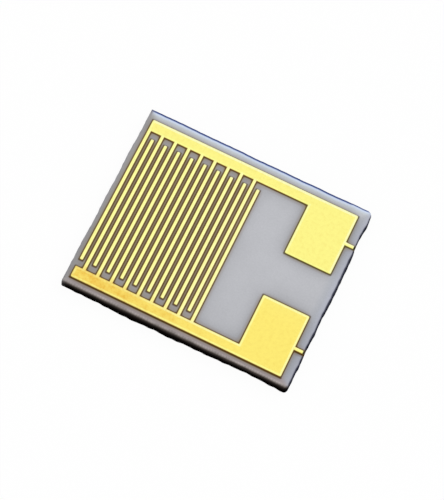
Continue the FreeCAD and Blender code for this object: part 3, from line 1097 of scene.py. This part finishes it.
@dataclass
class CeramicPlate:
    """The alumina plate, in millimetres.

    The top is a square grid whose lines follow the print. From the grid's border a row of loops
    leads out over the rim, down the side and in under the lower rim, and one face closes it below.
    """

    layout: PrintLayout
    skin: bpy.types.Material
    side: bpy.types.Material
    left: float = -5.04
    right: float = 4.99
    half_width: float = 4.125
    thickness: float = 0.635
    front_corner: float = 0.16
    back_corner: float = 0.23
    # The plate was snapped out of a sheet, so its edges wander. Each knot is a place along the
    # edge, and how far the edge lies outside its mean line there.
    right_wander: Knots = (
        (-3.9, -0.018), (-3.25, -0.0135), (-2.95, 0.0), (-2.25, -0.03), (-1.4, 0.006), (-1.05, -0.016),
        (-0.75, -0.0145), (-0.1, 0.0185), (0.1, 0.023), (0.75, 0.026), (1.25, 0.02), (2.0, 0.017),
        (2.52, -0.046), (3.03, -0.046), (3.75, 0.022), (4.0, -0.015),
    )
    left_wander: Knots = (
        (-4.0, 0.0), (-3.0, 0.004), (-2.4, 0.016), (-1.2, -0.006), (-0.2, 0.019), (0.9, 0.009),
        (2.0, 0.038), (2.9, 0.013), (4.0, 0.022),
    )
    back_wander: Knots = (
        (-4.9, 0.003), (-3.7, 0.013), (-2.5, 0.0), (-0.9, 0.008), (-0.4, -0.01), (0.9, 0.002),
        (1.9, -0.008), (2.4, 0.008), (3.1, -0.006), (4.2, 0.016), (4.8, 0.008),
    )
    # How far the underside juts out beyond the printed face along the front
    front_foot: Knots = (
        (-5.0, 0.023), (-3.4, 0.031), (-2.5, 0.06), (-2.0, 0.073), (-0.9, 0.04), (-0.2, 0.066),
        (0.5, 0.033), (1.3, 0.036), (2.0, 0.017), (3.2, -0.01), (3.8, 0.006), (4.35, 0.032),
        (4.75, 0.05),
    )
    # The edges' fine waviness. The left one's starts further along, and the back's is lower.
    ripples: Waves = ((0.005, 0.52, 1.0), (0.004, 0.31, 0.0))
    left_start: float = 0.2
    back_share: float = 0.5
    # How far in the painted shade line along the edges reaches along the front and the right, beyond
    # its usual place
    front_shade_line: Knots = (
        (0.6, 0.0), (2.0, 0.006), (3.0, 0.02), (3.6, 0.015), (4.1, 0.012), (4.5, 0.0),
    )
    right_shade_line: Knots = (
        (-2.8, -0.005), (-2.1, -0.006), (-1.6, 0.004), (-1.2, -0.004), (-0.7, -0.002), (-0.2, 0.012),
        (1.9, 0.013), (2.3, -0.01), (2.75, -0.03), (3.2, -0.02),
    )
    # How far the painted shade line draws back near the back corner of the right edge, how far round
    # the corner, and the width over which the sides' colours blend there
    line_gap_depth: float = 0.09
    line_gap_reach: float = 0.16
    side_blend: float = 0.06
    # Distance in from the edge from which the skin is plain, as all of the underside is
    plain_run: float = 0.6
    # Radii of the upper rim at the front, back, left and right, and of the lower rim
    front_rim: float = 0.12
    back_rim: float = 0.03
    left_rim: float = 0.02
    right_rim: float = 0.03
    lower_rim: float = 0.025
    # Border of the square grid, how near to its corners a loop starts to turn, the share of the
    # turn that each straight run takes, lines of the grid there, and points of each rounded corner
    grid_left: float = -4.93
    grid_right: float = 4.78
    grid_half: float = 3.93
    turn_reach: float = 0.3
    turn_share: float = 0.36
    turn_steps: Steps = (0.0, 0.03, 0.065, 0.105, 0.15, 0.2, 0.25)
    arc_points: int = 13
    inner_steps: Steps = (0.06,)
    outer_steps: Steps = (0.015, 0.03, 0.045, 0.06, 0.085)
    widest: tuple[float, float] = (0.12, 0.15)
    # Loops out from the grid to the rim, as shares of the way, round the rim, down the side, and
    # in under the lower rim, as angles
    flat_rows: Steps = (0.3, 0.55, 0.78, 1.0)
    rim_rows: int = 9
    side_rows: int = 8
    lower_angles: Steps = (30.0, 60.0, 90.0)
    # Waviness of the snapped sides, which grows towards the underside, and the shares of it that
    # the front, back, left and right get
    side_waves: Waves = ((0.0072, 0.66, 2.1), (0.0048, 0.41, 4.0))
    wave_shares: Steps = (1.0, 0.4, 0.15, 0.15)

    def right_edge(self, y: Array) -> Array:
        """Place along X of the right edge."""
        return self.right + ease(y, self.right_wander) + add_waves(y, self.ripples)

    def left_edge(self, y: Array) -> Array:
        """Place along X of the left edge."""
        return self.left - ease(y, self.left_wander) - add_waves(y + self.left_start, self.ripples)

    def back_edge(self, x: Array) -> Array:
        """Place along Y of the back edge."""
        return self.half_width + ease(x, self.back_wander) + self.back_share * add_waves(x, self.ripples)

    def border(self, lines_x: Array, lines_y: Array) -> tuple[Array, Array]:
        """Border of the square grid, anticlockwise from its lower left corner.

        Args:
            lines_x: the grid's lines along X.
            lines_y: the grid's lines along Y.

        Returns:
            The vertex numbers of the border, and one row of X and Y for each.
        """
        numbers = np.arange(lines_x.size * lines_y.size).reshape(lines_x.size, lines_y.size)
        loop = np.concatenate([
            numbers[:-1, 0], numbers[-1, :-1], numbers[:0:-1, -1], numbers[0, :0:-1],
        ])
        points = np.column_stack([lines_x[loop // lines_y.size], lines_y[loop % lines_y.size]])
        return loop, points

    def loop(self, border: Array, front: float, back: float, left: float, right: float) -> Array:
        """The plate's outline drawn in by a distance on each side, at the points of the border.

        Along a side, a point is the border's point carried straight out. Near a corner it is the
        point at the same share of the way along a straight run, a quarter of an ellipse about the
        middle of the corner's round, and another straight run.

        Args:
            border: X and Y of the border's points.
            front: distance in from the edge along -Y.
            back: distance in from the edge along +Y.
            left: distance in from the left edge.
            right: distance in from the right edge.

        Returns:
            X and Y of the loop's points.
        """
        x, y = border.T
        moved_x = np.where(x <= self.grid_left + HAIR, self.left_edge(y) + left, x)
        moved_x = np.where(x >= self.grid_right - HAIR, self.right_edge(y) - right, moved_x)
        moved_y = np.where(y <= HAIR - self.grid_half, front - self.half_width, y)
        moved_y = np.where(y >= self.grid_half - HAIR, self.back_edge(x) - back, moved_y)
        for side_x, side_y in ((-1, -1), (1, -1), (1, 1), (-1, 1)):
            near, share = self.turn(border, side_x, side_y)
            start_x = (self.grid_right if side_x > 0 else self.grid_left) - side_x * self.turn_reach
            if side_y < 0:
                outer_y, inset, radius = self.half_width, front, self.front_corner
            else:
                outer_y, inset, radius = float(self.back_edge(np.array(start_x))), back, self.back_corner
            end_y, upright = side_y * (outer_y - inset), side_y * (self.grid_half - self.turn_reach)
            ends = np.array([end_y, upright])
            if side_x < 0:
                edge, beyond = self.left_edge(ends) + left
                bend, marks = [(edge, end_y)], [0.5]
            else:
                edge, beyond = self.right_edge(ends) - (0.0, right)
                angles = np.radians(np.linspace(90, 0, self.arc_points))
                arc_x = edge - radius + (radius - right) * np.cos(angles)
                arc_y = outer_y - radius + (radius - inset) * np.sin(angles)
                bend = np.column_stack([arc_x, side_y * arc_y])
                marks = np.linspace(self.turn_share, 1 - self.turn_share, self.arc_points)
            marks = np.r_[0.0, marks, 1.0]
            run = np.vstack([(start_x, end_y), bend, (beyond, upright)])
            moved_x[near] = np.interp(share, marks, run[:, 0])
            moved_y[near] = np.interp(share, marks, run[:, 1])
        return np.column_stack([moved_x, moved_y])

    def turn(self, border: Array, side_x: int, side_y: int) -> tuple[Array, Array]:
        """Points of the border near one of its corners.

        Args:
            border: X and Y of the border's points.
            side_x: sign of the corner along X.
            side_y: sign of the corner along Y.

        Returns:
            A mask of the points, and for each how far it is on the way round the corner, from 0 on
            the side along X to 1 on the side along Y.
        """
        corner_x = self.grid_right if side_x > 0 else self.grid_left
        back_x = (corner_x - border[:, 0]) * side_x
        back_y = self.grid_half - border[:, 1] * side_y
        near = (back_x < self.turn_reach) & (back_y < self.turn_reach)
        share = 0.5 + (back_y - back_x)[near] / (2 * self.turn_reach)
        return near, share

    def rim_drop(self, border: Array, points: Array, angle: float) -> Array:
        """How far the rim has fallen below the printed face.

        At the front, back and left it is a quarter round over the distance from that side. At the
        right it is the right rim's quarter round at the row's angle, faded in round the corners.
        The greatest of them holds, as where two rounded sides meet in a real edge.

        Args:
            border: X and Y of the border's points.
            points: X and Y of the row's points.
            angle: the row's angle round the rim, in radians.

        Returns:
            The fall at each point.
        """
        x, y = points.T
        sides = (
            (self.front_rim, y + self.half_width),
            (self.back_rim, self.back_edge(x) - y),
            (self.left_rim, x - self.left_edge(y)),
        )
        falls = []
        for radius, distance in sides:
            reach = np.clip(radius - distance, 0.0, radius)
            falls.append(radius - np.sqrt(np.maximum(0.0, radius**2 - reach**2)))
        at_right = (border[:, 0] >= self.grid_right - HAIR).astype(float)
        for side_y in (-1, 1):
            near, share = self.turn(border, 1, side_y)
            at_right[near] = np.clip(2 * share, 0.0, 1.0)
        falls.append(at_right * self.right_rim * (1 - math.cos(angle)))
        return np.maximum.reduce(falls)

    def side_masks(self, x: Array, y: Array) -> dict[str, Array]:
        """How near each point is to the sides of the plate.

        The weight of a side is e to the power of minus the distance that it is farther away than
        the nearest one, over side_blend, and its share is its weight over the sum of all four.

        Args:
            x: places along X.
            y: places along Y.

        Returns:
            The distance to the nearest side, with the painted shade line's shift, and how far the
            right, back and front sides each cover those before them, left first.
        """
        distances = np.stack([
            y + self.half_width, self.back_edge(x) - y, self.right_edge(y) - x, x - self.left_edge(y),
        ])
        nearest = distances.min(axis=0)
        weights = np.exp((nearest - distances) / self.side_blend)
        front, back, right, _ = weights / weights.sum(axis=0)
        behind = 1 - front
        return {
            "edge_run": nearest + self.shade_line_shift(x, y, right, front),
            "at_front": front,
            "at_back": np.clip(back / np.maximum(HAIR, behind), 0, 1),
            "at_right": np.clip(right / np.maximum(HAIR, behind - back), 0, 1),
        }

    def shade_line_shift(self, x: Array, y: Array, right: Array, front: Array) -> Array:
        """How far the painted shade line along the edges draws back.

        Args:
            x: places along X.
            y: places along Y.
            right: share of the right side in each place.
            front: share of the front side in each place.

        Returns:
            The distance: above zero near the back corner of the right edge, a Gaussian bump round
            it, and below zero where the line is wider.
        """
        corner = (x - self.right) ** 2 + (y - self.half_width) ** 2
        bare = self.line_gap_depth * np.exp(-corner / self.line_gap_reach**2)
        return bare - right * ease(y, self.right_shade_line) - front * ease(x, self.front_shade_line)

    def build(self) -> bpy.types.Object:
        """Makes the plate.

        Returns:
            The finished piece.
        """
        lines_x, lines_y = self.layout.grid_lines(self.inner_steps, self.outer_steps, self.widest)
        ends = np.array([*self.turn_steps, self.turn_reach])
        lines_x = np.r_[lines_x, self.grid_left + ends, self.grid_right - ends]
        lines_y = np.r_[lines_y, ends - self.grid_half, self.grid_half - ends]
        lines_x = lines_x[(lines_x >= self.grid_left) & (lines_x <= self.grid_right)]
        lines_y = lines_y[np.abs(lines_y) <= self.grid_half]
        lines_x, lines_y = fill_lines(lines_x, self.widest[0]), fill_lines(lines_y, self.widest[1])

        grid_x, grid_y = np.meshgrid(lines_x, lines_y, indexing="ij")
        round_x, round_y = self.layout.round_off(grid_x, grid_y)
        top = np.column_stack([round_x.ravel(), round_y.ravel(), np.full(grid_x.size, self.thickness)])
        masks = {**self.side_masks(grid_x, grid_y), **self.layout.shade_round_print(grid_x, grid_y)}
        masks = {name: values.ravel() for name, values in masks.items()}
        masks["along_side"] = np.zeros(grid_x.size)

        loop, border = self.border(lines_x, lines_y)
        rows, row_masks = self.edge_rows(border)
        count = loop.size
        numbers = np.vstack([loop, grid_x.size + np.arange(len(rows) * count).reshape(-1, count)])
        near, far = numbers[:-1], numbers[1:]
        strips = np.stack([near, far, np.roll(far, -1, axis=1), np.roll(near, -1, axis=1)], axis=-1)
        surface = grid_quads(np.arange(grid_x.size).reshape(grid_x.shape)).reshape(-1, 4)
        faces = [*surface.tolist(), *strips.reshape(-1, 4).tolist(), numbers[-1, ::-1].tolist()]

        places = np.vstack([top, *rows])
        masks = {name: np.concatenate([values, *row_masks[name]]) for name, values in masks.items()}
        piece = make_piece("alumina_plate", places, faces, masks)
        slots = np.ones(len(faces), dtype=np.int32)
        slots[:len(surface) + len(self.flat_rows) * count] = 0
        slots[-1] = 0
        return self.dress(piece, slots)

    def edge_rows(self, border: Array) -> tuple[list[Array], dict[str, list[Array]]]:
        """Loops that lead from the border of the grid out over the rim and under the plate.

        The first run straight out on the printed face. Those of the rim are set in by its radius
        times one less the sine of their angle, those of the side go down in even steps while the
        waves and the front's foot grow, and the last follow the lower rim's quarter round.

        Args:
            border: X and Y of the border's points.

        Returns:
            The points of each loop, and a list of each mask's values for them.
        """
        radii = (self.front_rim, self.back_rim, self.left_rim, self.right_rim)
        outer = self.loop(border, 0.0, 0.0, 0.0, 0.0)
        along = np.r_[0.0, np.cumsum(np.linalg.norm(np.diff(outer, axis=0), axis=1))]
        tangent = np.roll(outer, -1, axis=0) - np.roll(outer, 1, axis=0)
        tangent /= np.linalg.norm(tangent, axis=1)[:, None]
        outward = np.column_stack([tangent[:, 1], -tangent[:, 0]])
        back_x, back_y = (outward >= 0).T
        share_x, share_y = (outward**2).T
        parts = np.column_stack([
            share_y * ~back_y, share_y * back_y, share_x * ~back_x, share_x * back_x,
        ])
        radius, strength = parts @ np.array(radii), parts @ np.array(self.wave_shares)

        rows: list[Array] = []
        masks: dict[str, list[Array]] = {}

        def add_row(points: Array, height: Array, run: Array, printed: bool) -> None:
            """Adds a loop.

            Args:
                points: X and Y of its points.
                height: their heights.
                run: their distances in from the plate's edge, or down its side where negative.
                printed: whether the print's painted shade and shadow show there.
            """
            rows.append(np.column_stack([points, height]))
            values = self.side_masks(*points.T)
            front = values["at_front"]
            values["edge_run"] = run + self.shade_line_shift(*points.T, values["at_right"] * (1 - front), front)
            values["along_side"] = along
            values |= {name: value * printed for name, value in self.layout.shade_round_print(*points.T).items()}
            for name, value in values.items():
                masks.setdefault(name, []).append(value)

        start = self.loop(border, *radii)
        border_run = self.side_masks(*border.T)["edge_run"]
        flat = np.full(len(border), self.thickness)
        for share in self.flat_rows:
            run = border_run + (radius - border_run) * share
            add_row(border + (start - border) * share, flat, run, True)
        for angle in np.linspace(0, math.pi / 2, self.rim_rows + 1)[1:]:
            inset = 1 - math.sin(angle)
            points = self.loop(border, *(r * inset for r in radii))
            edge_height = self.thickness - self.rim_drop(border, points, angle)
            add_row(points, edge_height, radius * inset, True)
        foot = ease(border[:, 0], self.front_foot) * parts[:, 0]
        for share in np.linspace(0, 1, self.side_rows + 1)[1:]:
            bulge = (add_waves(along, self.side_waves) * strength + foot) * share
            height = edge_height + (self.lower_rim - edge_height) * share
            add_row(outer + outward * bulge[:, None], height, height - edge_height, False)
        for angle in np.radians(self.lower_angles):
            inset = self.lower_rim * (1 - math.cos(angle))
            points = self.loop(border, inset, inset, inset, inset) + outward * bulge[:, None]
            height = np.full(len(outer), self.lower_rim * (1 - math.sin(angle)))
            add_row(points, height, height - edge_height, False)
        masks["edge_run"][-1] = np.full(len(outer), self.plain_run)
        for name in ("at_front", "at_back", "at_right"):
            masks[name][-1] = np.zeros(len(outer))
        return rows, masks

    def dress(self, piece: bpy.types.Object, slots: Array) -> bpy.types.Object:
        """Gives the piece its finishes and its place in the frame.

        Args:
            piece: the plate.
            slots: the material number of each face, 0 for the skin and 1 for the scribed side.

        Returns:
            The same piece.
        """
        piece.data.materials.append(self.skin)
        piece.data.materials.append(self.side)
        piece.data.polygons.foreach_set("material_index", slots)
        piece.data.polygons[-1].use_smooth = False
        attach(piece, "root")
        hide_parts("ceramic_substrate")
        return piece


# Studio


@dataclass
class Studio:
    """White paper under a soft lamp, and the photograph's camera, in millimetres and degrees."""

    paper: bpy.types.Material
    floor_size: float = 600.0
    floor_height: float = -0.002
    # Shares of a level face's light that come from the world and from the lamp
    ambient: float = 0.7
    lamp_share: float = 0.3
    # Azimuth and elevation of the lamp, and how wide it looks
    lamp_direction: tuple[float, float] = (150.0, 55.0)
    lamp_spread: float = 50.0
    # Fitted to the photograph: what the camera looks at, from where, and through what
    target: tuple[float, float, float] = (0.1446, -0.0766, 0.635)
    azimuth: float = 14.0146
    elevation: float = 71.4507
    roll: float = -12.1481
    distance: float = 82.1305
    lens: float = 146.5547
    sensor: float = 36.0
    # Nearest and farthest distance that the camera sees, in metres
    clip: tuple[float, float] = (0.001, 10.0)

    @staticmethod
    def direction(azimuth: float, elevation: float) -> Array:
        """Unit vector towards an azimuth and an elevation.

        Args:
            azimuth: degrees from -Y towards +X.
            elevation: degrees above the level.

        Returns:
            Its X, Y and Z.
        """
        turn, rise = math.radians(azimuth), math.radians(elevation)
        level = np.array([math.sin(turn), -math.cos(turn)]) * math.cos(rise)
        return np.array([*level, math.sin(rise)])

    def lay_floor(self) -> bpy.types.Object:
        """Makes the floor, a flat square a hair below the plate's underside.

        Returns:
            The floor.
        """
        corners = np.array([(-1, -1), (1, -1), (1, 1), (-1, 1)]) * self.floor_size / 2
        places = np.column_stack([corners, np.full(4, self.floor_height)])
        floor = make_piece("studio_floor", places, [[0, 1, 2, 3]], {})
        floor.data.materials.append(self.paper)
        return floor

    def light(self) -> None:
        """Sets the world and the lamp, which together light a level face at strength 1."""
        scene = bpy.context.scene
        world = bpy.data.worlds.new("studio_world")
        world.use_nodes = True
        world.node_tree.nodes.clear()
        add = partial(add_node, world.node_tree)
        strength = fade(add, (seen_ray(add), (0.0, 1.0, self.ambient, 1.0)))
        add("OutputWorld", add("Background", WHITE, strength))
        scene.world = world

        data = bpy.data.lights.new("softbox", "SUN")
        data.angle = math.radians(self.lamp_spread)
        data.energy = self.lamp_share * math.pi / math.sin(math.radians(self.lamp_direction[1]))
        lamp = bpy.data.objects.new("softbox", data)
        towards = Vector(self.direction(*self.lamp_direction).tolist())
        lamp.rotation_euler = towards.to_track_quat("Z", "Y").to_euler()
        lamp.visible_glossy = False
        scene.collection.objects.link(lamp)

    def place_camera(self) -> bpy.types.Object:
        """Places the camera at the photograph's view.

        Its back points from the target to the camera, and its sides are the level and the upright
        direction at right angles to that, turned by the roll.

        Returns:
            The camera.
        """
        back = self.direction(self.azimuth, self.elevation)
        level = np.cross(-back, (0.0, 0.0, 1.0))
        level /= np.linalg.norm(level)
        upright = np.cross(level, -back)
        turn = math.radians(self.roll)
        up = upright * math.cos(turn) + level * math.sin(turn)
        across = np.cross(-back, up)
        data = bpy.data.cameras.new("photo_camera")
        data.lens = self.lens
        data.sensor_width = self.sensor
        data.clip_start, data.clip_end = self.clip
        camera = bpy.data.objects.new("photo_camera", data)
        place = (np.array(self.target) + back * self.distance) * METRES
        camera.matrix_world = Matrix([
            (across[0], up[0], back[0], place[0]),
            (across[1], up[1], back[1], place[1]),
            (across[2], up[2], back[2], place[2]),
            (0.0, 0.0, 0.0, 1.0),
        ])
        bpy.context.scene.collection.objects.link(camera)
        bpy.context.scene.camera = camera
        return camera


def report(piece: bpy.types.Object) -> None:
    """Logs a piece's name and its number of vertices and faces."""
    mesh = piece.data
    log.info("%s: %d vertices, %d faces", piece.name, len(mesh.vertices), len(mesh.polygons))


def main() -> None:
    """Builds the plate, the combs and the studio."""
    logging.basicConfig(level=logging.INFO, format="%(message)s")
    layout = PrintLayout()
    plate = CeramicPlate(layout, FiredAlumina().material(), ScribedAlumina().material())
    report(plate.build())
    gold = FiredGold().material()
    for comb in Comb:
        report(CombElectrode(comb, layout, gold).build())
    studio = Studio(PaperFloor().material())
    report(studio.lay_floor())
    studio.light()
    studio.place_camera()
    bpy.context.scene.view_settings.view_transform = "Standard"


if __name__ == "__main__":
    main()
